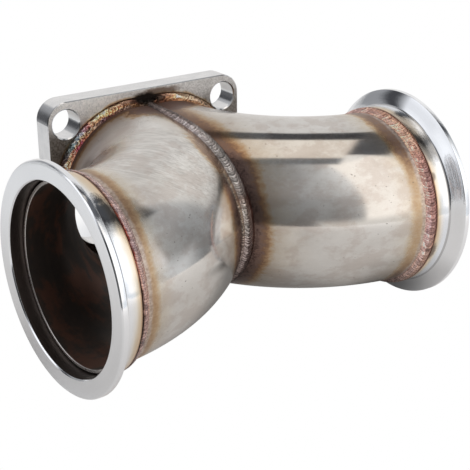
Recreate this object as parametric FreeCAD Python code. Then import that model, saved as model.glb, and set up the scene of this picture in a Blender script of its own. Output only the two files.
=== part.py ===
"""Twin-outlet turbo Y-pipe: two tight mandrel bends joined on a mitre behind one
rectangular turbo flange, with a V-band flange on each outlet.  Millimetres.

Frame: the origin is the centre of the turbo flange's mating face, whose normal is +Y.
The pipes leave towards -Y and turn away to -X and +X.  +Z is up.
The right-hand pieces are modelled, and the left-hand ones are their mirror images.
"""
import FreeCAD, Part
import math
import os
from FreeCAD import Vector

# Pipes
tube_outer_diameter = 76.2
tube_wall = 1.5
bend_radius = 76.2            # to the centre line
bend_angle = 87.5             # degrees turned between the flange and the outlet
pipe_offset = 7.5             # centre line at the flange, from the middle plane

# Turbo flange: bolt pattern and port
bolt_inset_across = 4.325     # a bolt hole's centre, in from the pipe's outer side
bolt_inset_up = 3.175         # a bolt hole's centre, in from the pipe's top or bottom
bolt_hole_diameter = 13.0
bolt_hole_chamfer = 0.5
plate_margin_across = 8.975   # from a bolt hole's centre to the plate's side
plate_margin_up = 10.075      # from a bolt hole's centre to the plate's top or bottom
plate_thickness = 11.0
plate_corner_radius = 9.5
plate_edge_chamfer = 0.4
port_inset_across = 4.1       # the port's side, in from the pipe's inner wall
port_inset_up = 11.6          # the port's top or bottom, in from the pipe's inner wall
port_corner_radius = 14.0

# V-band flanges
tube_recess = 6.2             # from the sealing face in to the pipe's end
sleeve_length = 6.2           # how far the hub reaches over the pipe
slip_clearance = 0.1          # between the bore and the widest part of the bend inside it
lip_width = 7.9               # from the bore out to the rim
rim_length = 2.5              # the rim's straight edge
lip_back_length = 3.0         # the sloped back of the lip, along the axis
hub_wall = 1.35
hub_root_radius = 1.2         # between the lip's back and the hub
lip_chamfer = 0.5

# Weld beads
flange_bead_leg = 3.5
outlet_bead_length = 4.0
bead_fullness = 0.62          # 0.5 is a flat bead, more is a crowned one
seam_bead_radius_at_flange = 1.4
seam_bead_radius_at_crotch = 3.4
seam_stations = 24            # along the seam's curve

# Sizes that follow from the ones above
tube_radius = tube_outer_diameter / 2
inner_radius = tube_radius - tube_wall
bend_turn = math.radians(bend_angle)
bend_centre_offset = pipe_offset + bend_radius
crotch_depth = math.sqrt((bend_radius + tube_radius) ** 2 - bend_centre_offset ** 2)

bolt_spacing_across = 2 * (pipe_offset + tube_radius - bolt_inset_across)    # 82.55
bolt_spacing_up = 2 * (tube_radius - bolt_inset_up)                          # 69.85
plate_width = bolt_spacing_across + 2 * plate_margin_across
plate_height = bolt_spacing_up + 2 * plate_margin_up
port_width = 2 * (pipe_offset + inner_radius - port_inset_across)
port_height = 2 * (inner_radius - port_inset_up)

inside_of_bend = bend_radius - tube_radius
outside_of_bend = bend_radius + tube_radius
bore_radius = bend_radius - math.sqrt(inside_of_bend ** 2 - sleeve_length ** 2) + slip_clearance
rim_radius = bore_radius + lip_width
hub_radius = bore_radius + hub_wall
hub_end_depth = tube_recess + sleeve_length

# Places: the pipe's foot on the plate, the centre that it bends about, and its outlet
middle = Vector(0, 0, 0)
across = Vector(1, 0, 0)
up = Vector(0, 0, 1)
downstream = Vector(0, -1, 0)
foot = Vector(pipe_offset, -plate_thickness, 0)
bend_centre = Vector(bend_centre_offset, -plate_thickness, 0)
outlet_axis = Vector(math.sin(bend_turn), -math.cos(bend_turn), 0)
pipe_end = bend_centre + Vector(-math.cos(bend_turn), -math.sin(bend_turn), 0) * bend_radius
sealing_centre = pipe_end + outlet_axis * tube_recess
half_space_size = 4 * (bend_centre_offset + tube_recess + rim_radius)


def rounded_loop(corners):
    """Closed wire through corners given as (point, radius); a radius of 0 stays sharp."""
    runs = []
    count = len(corners)
    for index, (corner, radius) in enumerate(corners):
        to_last = (corners[index - 1][0] - corner).normalize()
        to_next = (corners[(index + 1) % count][0] - corner).normalize()
        if radius == 0:
            runs.append((corner,))
            continue
        half_angle = to_last.getAngle(to_next) / 2
        reach = radius / math.tan(half_angle)
        to_arc = radius / math.sin(half_angle) - radius
        bisector = (to_last + to_next).normalize()
        runs.append((corner + to_last * reach, corner + bisector * to_arc, corner + to_next * reach))
    edges = []
    for index, run in enumerate(runs):
        if len(run) == 3:
            edges.append(Part.Arc(*run).toShape())
        next_start = runs[(index + 1) % count][0]
        if (next_start - run[-1]).Length > 1e-6:
            edges.append(Part.LineSegment(run[-1], next_start).toShape())
    return Part.Wire(edges)


def plate_outline(width, height, radius):
    """Rounded rectangle in the plane of the mating face."""
    signs = [(1, 1), (-1, 1), (-1, -1), (1, -1)]
    return rounded_loop([(Vector(sx * width / 2, 0, sz * height / 2), radius) for sx, sz in signs])


def mirrored(shape):
    """The left-hand twin of a right-hand piece."""
    return shape.mirror(middle, across)


def right_half_space():
    size = half_space_size
    return Part.makeBox(size, 2 * size, 2 * size, Vector(0, -size, -size))


def bent_bar(radius):
    """Solid bar along the right-hand bend, cut off at the middle plane."""
    disc = Part.Face(Part.Wire(Part.makeCircle(radius, foot, downstream)))
    return disc.revolve(bend_centre, up, bend_angle).common(right_half_space())


def cut_by_pipes(shape):
    """Trim what lies inside the pipes' outer skins."""
    bar = bent_bar(tube_radius)
    return shape.cut(bar).cut(mirrored(bar))


def make_turbo_flange():
    plate = Part.Face(plate_outline(plate_width, plate_height, plate_corner_radius))
    plate = plate.extrude(downstream * plate_thickness)
    rim_edges = [edge for edge in plate.Edges
                 if abs(edge.Vertexes[0].Y - edge.Vertexes[-1].Y) < 1e-6]
    plate = plate.makeChamfer(plate_edge_chamfer, rim_edges)
    port = Part.Face(plate_outline(port_width, port_height, port_corner_radius))
    plate = plate.cut(port.extrude(downstream * plate_thickness))
    radius = bolt_hole_diameter / 2
    mouth_radius = radius + bolt_hole_chamfer
    for sx in (-1, 1):
        for sz in (-1, 1):
            near = Vector(sx * bolt_spacing_across / 2, 0, sz * bolt_spacing_up / 2)
            far = near + downstream * plate_thickness
            plate = plate.cut(Part.makeCylinder(radius, plate_thickness, near, downstream))
            for mouth, inward in ((near, downstream), (far, -downstream)):
                plate = plate.cut(Part.makeCone(mouth_radius, radius, bolt_hole_chamfer, mouth, inward))
    return plate


def make_bend():
    return bent_bar(tube_radius).cut(bent_bar(inner_radius))


def outlet_point(depth, radius):
    """Point of a turned profile, by its depth behind the sealing face and its radius."""
    return sealing_centre - outlet_axis * depth + up * radius


def make_v_band_flange():
    profile = [
        (lip_chamfer, bore_radius, 0),
        (0, bore_radius + lip_chamfer, 0),
        (0, rim_radius - lip_chamfer, 0),
        (lip_chamfer, rim_radius, 0),
        (rim_length, rim_radius, 0),
        (rim_length + lip_back_length, hub_radius, hub_root_radius),
        (hub_end_depth, hub_radius, 0),
        (hub_end_depth, bore_radius, 0),
    ]
    loop = rounded_loop([(outlet_point(depth, radius), rounding) for depth, radius, rounding in profile])
    return Part.Face(loop).revolve(sealing_centre, outlet_axis, 360)


def ring_bead(heel, wide_toe, far_toe, base, axis):
    """Fillet bead turned about an axis, sunk a little towards it for the pipe to trim."""
    crown = heel + (wide_toe - heel + far_toe - heel) * bead_fullness
    sunk_toe = far_toe - up * tube_wall
    sunk_heel = heel - up * tube_wall
    section = Part.Wire([Part.Arc(wide_toe, crown, far_toe).toShape(),
                         Part.LineSegment(far_toe, sunk_toe).toShape(),
                         Part.LineSegment(sunk_toe, sunk_heel).toShape(),
                         Part.LineSegment(sunk_heel, wide_toe).toShape()])
    return Part.Face(section).revolve(base, axis, 360)


def outside_radius_after(run):
    """Radius of the bend's outer side, from its end's axis, a short way along the pipe."""
    return math.sqrt(outside_of_bend ** 2 - run ** 2) - bend_radius


def make_outlet_weld():
    """Fillet between the hub's end and the pipe, all the way round."""
    toe_depth = hub_end_depth + outlet_bead_length
    toe_radius = outside_radius_after(toe_depth - tube_recess)
    bead = ring_bead(outlet_point(hub_end_depth, toe_radius), outlet_point(hub_end_depth, hub_radius),
                     outlet_point(toe_depth, toe_radius), sealing_centre, outlet_axis)
    return bead.cut(bent_bar(tube_radius))


def make_flange_weld():
    """Fillet round the foot of both pipes, with an inward corner where they meet."""
    heel = foot + up * outside_radius_after(flange_bead_leg)
    wide_toe = foot + up * (tube_radius + flange_bead_leg)
    ring = ring_bead(heel, wide_toe, heel + downstream * flange_bead_leg, foot, downstream)
    half = ring.common(right_half_space())
    return cut_by_pipes(half.fuse(mirrored(half)).removeSplitter())


def seam_point(share):
    """Point on the seam of the pipes' outer skins; share is 1 above, 0 at the crotch, -1 below."""
    run = crotch_depth * math.cos(share * math.pi / 2)
    from_centre = math.hypot(bend_centre_offset, run)
    rise = math.sqrt(max(tube_radius ** 2 - (from_centre - bend_radius) ** 2, 0))
    return Vector(0, -plate_thickness - run, math.copysign(rise, share))


def make_seam_weld(flange_weld):
    """Bead in the valley between the pipes, widest in the crotch."""
    shares = [1 - 2 * index / seam_stations for index in range(seam_stations + 1)]
    path = Part.BSplineCurve()
    path.interpolate(Points=[seam_point(share) for share in shares])
    sweep = Part.BRepOffsetAPI.MakePipeShell(Part.Wire(path.toShape()))
    sweep.setFrenetMode(True)
    for share, radius, along in ((1, seam_bead_radius_at_flange, downstream),
                                 (0, seam_bead_radius_at_crotch, -up),
                                 (-1, seam_bead_radius_at_flange, -downstream)):
        sweep.add(Part.Wire(Part.makeCircle(radius, seam_point(share), along)))
    sweep.build()
    sweep.makeSolid()
    return cut_by_pipes(sweep.shape()).cut(flange_weld)


def save(shape, node):
    """Write one node; every node is a single valid solid."""
    if len(shape.Solids) != 1 or not shape.isValid():
        raise RuntimeError(node + ": expected one valid solid, got %d" % len(shape.Solids))
    shape.Solids[0].exportStep("parts/" + node + ".step")
    print("%-24s volume %9.1f mm3" % (node, shape.Volume))


os.makedirs("parts", exist_ok=True)
flange_weld = make_flange_weld()
save(make_turbo_flange(), "turbo_flange")
save(flange_weld, "flange_weld")
save(make_seam_weld(flange_weld), "seam_weld")
for piece, shape in (("bend", make_bend()),
                     ("v_band_flange", make_v_band_flange()),
                     ("v_band_weld", make_outlet_weld())):
    save(shape, "right_" + piece)
    save(mirrored(shape), "left_" + piece)
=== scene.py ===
"""Looks of a twin-outlet turbo Y-pipe in welded stainless steel, built round its CAD frame.

Sizes and places are in millimetres, and meshes and their materials' own coordinates in
metres.  +Y is out of the turbo flange, the outlets point along X, and +Z is up.
"""
import math
import bmesh
import bpy
import numpy as np
from mathutils import Matrix, Vector


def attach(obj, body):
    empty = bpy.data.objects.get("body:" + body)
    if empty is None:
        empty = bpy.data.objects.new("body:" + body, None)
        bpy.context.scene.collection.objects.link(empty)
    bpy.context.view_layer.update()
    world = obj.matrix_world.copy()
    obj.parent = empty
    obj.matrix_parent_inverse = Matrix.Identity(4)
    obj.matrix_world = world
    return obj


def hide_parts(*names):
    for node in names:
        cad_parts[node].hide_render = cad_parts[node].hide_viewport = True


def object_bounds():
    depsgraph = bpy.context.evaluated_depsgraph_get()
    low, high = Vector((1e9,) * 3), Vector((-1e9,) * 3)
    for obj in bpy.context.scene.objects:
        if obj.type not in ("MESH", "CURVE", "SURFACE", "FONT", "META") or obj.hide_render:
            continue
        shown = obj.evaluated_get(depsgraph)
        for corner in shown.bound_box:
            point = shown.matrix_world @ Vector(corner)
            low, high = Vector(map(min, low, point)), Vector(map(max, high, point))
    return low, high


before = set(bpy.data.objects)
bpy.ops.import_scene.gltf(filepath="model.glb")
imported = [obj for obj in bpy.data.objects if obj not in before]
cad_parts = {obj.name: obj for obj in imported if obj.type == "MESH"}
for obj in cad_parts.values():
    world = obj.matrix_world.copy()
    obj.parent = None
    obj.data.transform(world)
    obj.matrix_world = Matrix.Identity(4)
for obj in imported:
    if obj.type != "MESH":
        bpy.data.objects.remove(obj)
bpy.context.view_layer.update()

MM = 0.001

# Pipes
PIPE_RADIUS = 38.1
PIPE_WALL = 1.5
PIPE_OFFSET = 7.5
BEND_RADIUS = 76.2
BEND_TURN = math.radians(87.5)
PLATE_THICKNESS = 11.0
BEND_CENTRE = np.array((PIPE_OFFSET + BEND_RADIUS, -PLATE_THICKNESS, 0.0))

# V-band flanges
TUBE_RECESS = 6.2
SLEEVE_LENGTH = 6.2
SLIP_CLEARANCE = 0.1
LIP_WIDTH = 7.9
RIM_LENGTH = 2.5
LIP_BACK = 3.0
LIP_CHAMFER = 0.5
HUB_WALL = 1.35
HUB_ROOT_RADIUS = 1.2
INSIDE_OF_BEND = BEND_RADIUS - PIPE_RADIUS
BORE_RADIUS = BEND_RADIUS - math.sqrt(INSIDE_OF_BEND ** 2 - SLEEVE_LENGTH ** 2) + SLIP_CLEARANCE
RIM_RADIUS = BORE_RADIUS + LIP_WIDTH
HUB_RADIUS = BORE_RADIUS + HUB_WALL
HUB_END = TUBE_RECESS + SLEEVE_LENGTH
LIP_END = RIM_LENGTH + LIP_BACK
OUTLET_AXIS = np.array((math.sin(BEND_TURN), -math.cos(BEND_TURN), 0.0))
PIPE_END = BEND_CENTRE + BEND_RADIUS * np.array((-math.cos(BEND_TURN), -math.sin(BEND_TURN), 0.0))
SEALING_CENTRE = PIPE_END + OUTLET_AXIS * TUBE_RECESS

# Weld beads
FLANGE_BEAD_LEG = 3.5
FLANGE_BEAD_FULLNESS = 0.95
OUTLET_BEAD_LENGTH = 4.6
OUTLET_BEAD_FULLNESS = 0.85
SEAM_RADIUS_AT_FLANGE = 1.4
SEAM_RADIUS_AT_CROTCH = 3.4
CROTCH_DEPTH = math.sqrt((BEND_RADIUS + PIPE_RADIUS) ** 2 - BEND_CENTRE[0] ** 2)


# Meshes

def shell(name, points, fields=None, closed_along=True, crease=35):
    """Closed skin through a grid of points (along, around, 3), with named values on its points.

    The skin's faces are turned outwards by the sign of its volume.
    """
    rows, columns = points.shape[:2]
    index = np.arange(rows * columns).reshape(rows, columns)
    ahead = np.roll(index, -1, axis=0)
    if not closed_along:
        index = index[:-1]
        ahead = ahead[:-1]
    beside = np.roll(index, -1, axis=1)
    ahead_beside = np.roll(ahead, -1, axis=1)
    quads = np.stack([index, beside, ahead_beside, ahead], axis=-1).reshape(-1, 4)
    flat = points.reshape(-1, 3)
    a, b, c, d = (flat[quads[:, i]] for i in range(4))
    volume = np.einsum("ij,ij->i", a, np.cross(b, c)).sum() + np.einsum("ij,ij->i", a, np.cross(c, d)).sum()
    if volume < 0:
        quads = quads[:, ::-1]
    mesh = bpy.data.meshes.new(name)
    mesh.from_pydata((flat * MM).tolist(), [], quads.tolist())
    for field, values in (fields or {}).items():
        values = np.asarray(values, np.float32)
        vector = values.ndim == 3
        attribute = mesh.attributes.new(field, "FLOAT_VECTOR" if vector else "FLOAT", "POINT")
        attribute.data.foreach_set("vector" if vector else "value", values.ravel())
    mesh.shade_smooth()
    mesh.set_sharp_from_angle(angle=math.radians(crease))
    mesh.update()
    piece = bpy.data.objects.new(name, mesh)
    bpy.context.scene.collection.objects.link(piece)
    return piece


def on_side(points, side):
    """Points of a right-hand piece (side 1), or of its left-hand twin (side -1)."""
    return points * np.array((side, 1.0, 1.0))


def nearest(points, path):
    """Distance from each point of a grid to the nearest point of a path."""
    flat = points.reshape(-1, 3)
    best = np.full(len(flat), 1e9)
    for start in range(0, len(flat), 8000):
        part = flat[start:start + 8000]
        gap = ((part[:, None, :] - path[None, :, :]) ** 2).sum(-1)
        best[start:start + 8000] = np.sqrt(gap.min(1))
    return best.reshape(points.shape[:2])


def run_length(path):
    """Distance along a path at each of its points."""
    steps = np.linalg.norm(np.diff(path, axis=0), axis=1)
    return np.concatenate([[0], np.cumsum(steps)])


# Pipes: each bend is swept round its bend centre and mitred on the middle plane

def skin_point(radius, angle, turn):
    """Point on a bent pipe; angle 0 is the outside of the bend, turn 0 the flange."""
    reach = BEND_RADIUS + radius * np.cos(angle)
    return np.stack([BEND_CENTRE[0] - reach * np.cos(turn),
                     BEND_CENTRE[1] - reach * np.sin(turn),
                     radius * np.sin(angle) + 0 * turn], axis=-1)


def turn_at(radius, angle, setback):
    """Turn at which a line along the pipe is this far behind the pipe's end."""
    return BEND_TURN - np.arcsin(setback / (BEND_RADIUS + radius * np.cos(angle)))


def first_turn(radius, angle):
    """Turn at which a line along the pipe leaves the mitre, or 0 where it starts on the plate."""
    reach = BEND_RADIUS + radius * np.cos(angle)
    return np.arccos(np.minimum(BEND_CENTRE[0] / reach, 1.0))


def angles_round(radius, on_mitre, on_plate):
    """Angles round the pipe, with one exactly at each end of the mitre."""
    corner = math.acos(PIPE_OFFSET / radius)
    return np.concatenate([np.linspace(-corner, corner, on_mitre, endpoint=False),
                           np.linspace(corner, 2 * math.pi - corner, on_plate, endpoint=False)])


def seam_line(count=400):
    """The seam of the two pipes' outer skins, from above, round the crotch, to below."""
    share = np.linspace(1, -1, count)
    run = CROTCH_DEPTH * np.cos(share * math.pi / 2)
    reach = np.hypot(BEND_CENTRE[0], run)
    rise = np.sqrt(np.maximum(PIPE_RADIUS ** 2 - (reach - BEND_RADIUS) ** 2, 0))
    return np.stack([0 * run, -PLATE_THICKNESS - run, np.copysign(rise, share)], axis=-1)


def foot_line(count=400):
    """The right-hand pipe's outline on the plate."""
    corner = math.acos(PIPE_OFFSET / PIPE_RADIUS)
    angle = np.linspace(corner, 2 * math.pi - corner, count)
    return skin_point(PIPE_RADIUS, angle, 0 * angle)


def skin_rows(radius, angle, easing, count):
    """Rings of one skin of a pipe, from its foot or its mitre to just short of its end."""
    start = first_turn(radius, angle)
    stop = turn_at(radius, angle, easing)
    return [skin_point(radius, angle, start + (stop - start) * share) for share in np.linspace(0, 1, count)]


def make_pipe(side, name):
    """One mandrel bend, inside and out, with the distances to its welds kept on its points."""
    on_mitre = 112
    on_plate = 144
    easing = 0.25
    bore = PIPE_RADIUS - PIPE_WALL
    outer = angles_round(PIPE_RADIUS, on_mitre, on_plate)
    inner = angles_round(bore, on_mitre, on_plate)
    outside = skin_rows(PIPE_RADIUS, outer, easing, 150)
    end = [skin_point(radius, outer, BEND_TURN + 0 * outer)
           for radius in (PIPE_RADIUS - easing, bore + easing)]
    inside = skin_rows(bore, inner, easing, 60)[::-1]
    points = np.stack(outside + end + inside)
    angle = np.stack([outer] * len(outside + end) + [inner] * len(inside))
    turn = np.arctan2(BEND_CENTRE[1] - points[..., 1], BEND_CENTRE[0] - points[..., 0])
    setback = (BEND_RADIUS + PIPE_RADIUS * np.cos(angle)) * np.sin(BEND_TURN - turn)
    is_inside = np.zeros(angle.shape)
    is_inside[-len(inside):] = 1
    fields = {
        "along_pipe": np.stack([BEND_RADIUS * turn,
                                PIPE_RADIUS * np.cos(angle),
                                PIPE_RADIUS * np.sin(angle)], axis=-1),
        "from_seam": nearest(points, seam_line()),
        "from_foot": nearest(points, foot_line()),
        "from_outlet": setback - (SLEEVE_LENGTH + OUTLET_BEAD_LENGTH),
        "inside": is_inside,
    }
    return shell(name, on_side(points, side), fields)


# V-band flanges: turned profiles

def rounded_profile(corners, steps=4):
    """Closed profile through corners (depth, radius, rounding), as a list of points."""
    points = []
    count = len(corners)
    for index, (depth, radius, rounding) in enumerate(corners):
        here = np.array((depth, radius))
        to_last = np.array(corners[index - 1][:2]) - here
        to_next = np.array(corners[(index + 1) % count][:2]) - here
        to_last /= np.linalg.norm(to_last)
        to_next /= np.linalg.norm(to_next)
        half_angle = math.acos(np.clip(to_last @ to_next, -1, 1)) / 2
        reach = rounding / math.tan(half_angle)
        bisector = to_last + to_next
        bisector /= np.linalg.norm(bisector)
        centre = here + bisector * rounding / math.sin(half_angle)
        first = here + to_last * reach - centre
        last = here + to_next * reach - centre
        sweep = math.acos(np.clip(first @ last / rounding ** 2, -1, 1))
        for step in range(steps + 1):
            share = step / steps
            mix = (math.sin((1 - share) * sweep) * first + math.sin(share * sweep) * last) / math.sin(sweep)
            points.append(centre + mix)
    return np.array(points)


def divided(profile, longest):
    """The same closed profile with its long straights cut into shorter ones."""
    points = []
    for here, following in zip(profile, np.roll(profile, -1, axis=0)):
        cuts = max(1, int(np.linalg.norm(following - here) / longest))
        points += [here + (following - here) * step / cuts for step in range(cuts)]
    return np.array(points)


def turned(depth, radius, spin):
    """Points turned round the right-hand outlet's axis."""
    upright = np.array((0.0, 0.0, 1.0))
    sideways = np.cross(upright, OUTLET_AXIS)
    spoke = np.cos(spin)[..., None] * sideways + np.sin(spin)[..., None] * upright
    return SEALING_CENTRE - depth[..., None] * OUTLET_AXIS + radius[..., None] * spoke


def make_v_band_flange(side, name):
    """Turned flange: sealing face, rim, sloped back for the clamp, and hub."""
    edge = 0.12
    corners = [
        (LIP_CHAMFER, BORE_RADIUS, edge),
        (0.0, BORE_RADIUS + LIP_CHAMFER, edge),
        (0.0, RIM_RADIUS - LIP_CHAMFER, edge),
        (LIP_CHAMFER, RIM_RADIUS, edge),
        (RIM_LENGTH, RIM_RADIUS, edge),
        (LIP_END, HUB_RADIUS, HUB_ROOT_RADIUS),
        (HUB_END, HUB_RADIUS, edge),
        (HUB_END, BORE_RADIUS, edge),
    ]
    profile = divided(rounded_profile(corners), longest=1.6)
    spin = np.linspace(0, math.tau, 320, endpoint=False)
    depth, spin_grid = np.meshgrid(profile[:, 0], spin, indexing="ij")
    radius = np.repeat(profile[:, 1:], len(spin), axis=1)
    cut = np.repeat(run_length(profile)[:, None], len(spin), axis=1)
    fields = {
        "tool_path": np.stack([cut, 12 * np.cos(spin_grid), 12 * np.sin(spin_grid)], axis=-1),
        "depth": depth,
        "radius": radius,
    }
    return shell(name, on_side(turned(depth, radius, spin_grid), side), fields, crease=20)


# Weld beads: a smooth bead first, and Geometry Nodes lay the ripples on it

def bead_section(first_toe, far_toe, heel, fullness, bulge_way, across):
    """Rows of a bead from one toe over the crown to the other, then back under it through the heel."""
    rows = []
    for share in across:
        rise = fullness * 4 * share * (1 - share)
        rows.append(first_toe + (far_toe - first_toe) * share + bulge_way * rise)
    rows.append(heel)
    return np.stack(rows)


def bead_fields(across, along):
    """Place across a bead, from -1 to 1, and along it, and which rows are on its crown."""
    side = np.concatenate([across * 2 - 1, [1.0]])
    on_crown = np.concatenate([np.ones(len(across)), [0]])
    return {
        "across": np.repeat(side[:, None], len(along), axis=1),
        "along": np.repeat(along[None, :], len(side), axis=0),
        "on_crown": np.repeat(on_crown[:, None], len(along), axis=1),
    }


def make_outlet_bead(side, name):
    """Fillet from the hub's end to the pipe, all the way round."""
    spin = np.linspace(0, math.tau, 2100, endpoint=False)
    angle = math.pi - spin
    sunk = 0.5
    hub_toe = turned(0 * spin + HUB_END, 0 * spin + HUB_RADIUS - 0.05, spin)
    pipe_toe = skin_point(PIPE_RADIUS - 0.08, angle,
                          turn_at(PIPE_RADIUS, angle, SLEEVE_LENGTH + OUTLET_BEAD_LENGTH))
    heel = skin_point(PIPE_RADIUS - sunk, angle, turn_at(PIPE_RADIUS, angle, SLEEVE_LENGTH + 0.2))
    out = turned(0 * spin, 0 * spin + 1, spin) - turned(0 * spin, 0 * spin, spin)
    across = np.linspace(0, 1, 19)
    points = bead_section(hub_toe, pipe_toe, heel, OUTLET_BEAD_FULLNESS, out, across)
    return shell(name, on_side(points, side), bead_fields(across, spin * PIPE_RADIUS), crease=60)


def ring_off_plate(radius, height, share):
    """Right-hand ring round the pipe, at a height off the plate, from its upper corner to its lower."""
    reach = np.hypot(BEND_CENTRE[0], height)
    corner = math.acos(min((reach - BEND_RADIUS) / radius, 1.0))
    angle = corner + (math.tau - 2 * corner) * share
    lift = np.arcsin(height / (BEND_RADIUS + radius * np.cos(angle)))
    return skin_point(radius, angle, lift)


def make_flange_bead(name):
    """Fillet round the foot of both pipes, with an inward corner where they meet."""
    share = np.linspace(0, 1, 840, endpoint=False)
    plate_toe = ring_off_plate(PIPE_RADIUS + FLANGE_BEAD_LEG, 0.0, share)
    pipe_toe = ring_off_plate(PIPE_RADIUS - 0.05, FLANGE_BEAD_LEG, share)
    heel = ring_off_plate(PIPE_RADIUS - 0.3, 0.0, share)
    out = heel - (BEND_CENTRE - np.array((BEND_RADIUS, 0, 0)))
    out /= np.linalg.norm(out, axis=1)[:, None]
    out[:, 0] *= np.clip(np.minimum(share, 1 - share) / 0.04, 0, 1)
    way = (out + np.array((0, -1, 0))) / math.sqrt(2)
    across = np.linspace(0, 1, 21)
    right = bead_section(plate_toe, pipe_toe, heel, FLANGE_BEAD_FULLNESS, way, across)
    lower_corner = right[:, 0] * np.array((1, 1, -1))
    left = np.roll(right[:, ::-1] * np.array((-1, 1, 1)), 1, axis=1)
    left[:, 0] = lower_corner
    points = np.concatenate([right, left], axis=1)
    return shell(name, points, bead_fields(across, run_length(points[0])), crease=60)


def seam_bead_radius(along):
    """Half the seam bead's width: widest in the crotch, and a little wider again at its two ends."""
    share = np.linspace(1, -1, len(along))
    radius = SEAM_RADIUS_AT_CROTCH + (SEAM_RADIUS_AT_FLANGE - SEAM_RADIUS_AT_CROTCH) * np.abs(share) ** 2.2
    from_end = np.minimum(along, along[-1] - along)
    return radius + 0.25 + 0.45 * np.exp(-(from_end / 5.0) ** 2)


def make_seam_bead(name):
    """Bead in the valley between the pipes."""
    path = seam_line(1500)
    along = run_length(path)
    heading = np.gradient(path, along, axis=0)
    heading /= np.linalg.norm(heading, axis=1)[:, None]
    right = np.array((1.0, 0.0, 0.0))
    out = np.cross(heading, right)
    reach = np.hypot(BEND_CENTRE[0], path[:, 1] + PLATE_THICKNESS)
    pipe_middle = np.stack([BEND_CENTRE[0] * (1 - BEND_RADIUS / reach),
                            -PLATE_THICKNESS + (path[:, 1] + PLATE_THICKNESS) * BEND_RADIUS / reach,
                            0 * reach], axis=-1)
    valley = np.cross(heading, (path - pipe_middle) / PIPE_RADIUS)
    valley *= np.sign(valley[:, :1])
    toe = np.arctan2((valley * out).sum(1), valley[:, 0]) - math.radians(3)
    radius = seam_bead_radius(along)
    across = np.linspace(0, 1, 19)
    rows = []
    for place in across:
        angle = toe + (math.pi - 2 * toe) * place
        sideways = (radius * np.cos(angle))[:, None] * right
        rows.append(path + sideways + (radius * np.sin(angle))[:, None] * out)
    rows.append(path - out * 0.4)
    return shell_open(name, np.stack(rows), bead_fields(across, along))


def shell_open(name, points, fields):
    """A bead with two ends, each closed by a cap."""
    centre = points.mean(axis=0, keepdims=True)
    first = np.repeat(centre[:, :1].mean(axis=0, keepdims=True), points.shape[0], axis=0)
    last = np.repeat(centre[:, -1:].mean(axis=0, keepdims=True), points.shape[0], axis=0)
    shut = np.concatenate([first + (points[:, :1] - first) * 0.02, points,
                           last + (points[:, -1:] - last) * 0.02], axis=1)
    swapped = {key: np.concatenate([value[:, :1], value, value[:, -1:]], axis=1).T
               for key, value in fields.items()}
    piece = shell(name, shut.transpose(1, 0, 2), swapped, closed_along=False, crease=60)
    return close_ends(piece)


def close_ends(piece):
    """Fill the small holes left at a bead's two ends."""
    mesh = bmesh.new()
    mesh.from_mesh(piece.data)
    edges = [edge for edge in mesh.edges if edge.is_boundary]
    bmesh.ops.holes_fill(mesh, edges=edges, sides=0)
    bmesh.ops.recalc_face_normals(mesh, faces=mesh.faces)
    mesh.to_mesh(piece.data)
    mesh.free()
    return piece


# Node helpers

def add(tree, kind, sockets=None, **settings):
    """Add a node, with settings by name, and values or links by socket."""
    node = tree.nodes.new(kind)
    for key, value in settings.items():
        setattr(node, key, value)
    for key, value in (sockets or {}).items():
        socket = node.inputs[key]
        if isinstance(value, bpy.types.NodeSocket):
            tree.links.new(value, socket)
        else:
            socket.default_value = value
    return node


def calc(tree, operation, *terms):
    """Result of one Math node."""
    return add(tree, "ShaderNodeMath", dict(enumerate(terms)), operation=operation).outputs[0]


def product(tree, first, *others):
    """Several numbers multiplied together."""
    for other in others:
        first = calc(tree, "MULTIPLY", first, other)
    return first


def summed(tree, base, parts):
    """A base number plus each part's mask times its amount."""
    for mask, amount in parts:
        base = calc(tree, "MULTIPLY_ADD", mask, amount, base)
    return base


def vector_calc(tree, operation, *terms, output="Vector", **sockets):
    """Vector, or with output="Value" the number, that one Vector Math node gives."""
    sockets = {**dict(enumerate(terms)), **sockets}
    return add(tree, "ShaderNodeVectorMath", sockets, operation=operation).outputs[output]


def split(tree, vector):
    """X, Y and Z of a vector."""
    return add(tree, "ShaderNodeSeparateXYZ", {"Vector": vector}).outputs


def joined(tree, **parts):
    """Vector from its X, Y and Z."""
    return add(tree, "ShaderNodeCombineXYZ", parts).outputs["Vector"]


def falloff(tree, distance, near, far):
    """1 at the near distance, falling smoothly to 0 at the far one."""
    node = add(tree, "ShaderNodeMapRange", {"Value": distance, "From Min": near, "From Max": far,
                                            "To Min": 1.0, "To Max": 0.0},
               interpolation_type="SMOOTHSTEP")
    return node.outputs["Result"]


def mixed(tree, mask, first, second, mode="MIX"):
    """Colour that goes from the first to the second as the mask goes from 0 to 1."""
    node = tree.nodes.new("ShaderNodeMix")
    node.data_type = "RGBA"
    node.blend_type = mode
    for socket, value in ((node.inputs[0], mask), (node.inputs[6], first), (node.inputs[7], second)):
        if isinstance(value, bpy.types.NodeSocket):
            tree.links.new(value, socket)
        elif hasattr(value, "__len__"):
            socket.default_value = (*value, 1.0)
        else:
            socket.default_value = value
    return node.outputs[2]


def veiled(tree, colour, mask, share, veil):
    """The colour with a share of another laid over it where the mask is."""
    return mixed(tree, product(tree, mask, share), colour, veil)


def noise(tree, vector, scale, detail=2.0, roughness=0.5):
    """Value of a noise pattern, about 0.5 on average."""
    node = add(tree, "ShaderNodeTexNoise", {"Vector": vector, "Scale": scale, "Detail": detail,
                                            "Roughness": roughness})
    return node.outputs["Fac"]


def stretched(tree, vector, scale):
    """A place scaled by its own amount along each axis."""
    return add(tree, "ShaderNodeMapping", {"Vector": vector, "Scale": scale}).outputs["Vector"]


def object_place(tree):
    """Place on the object, in metres."""
    return add(tree, "ShaderNodeTexCoord").outputs["Object"]


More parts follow.
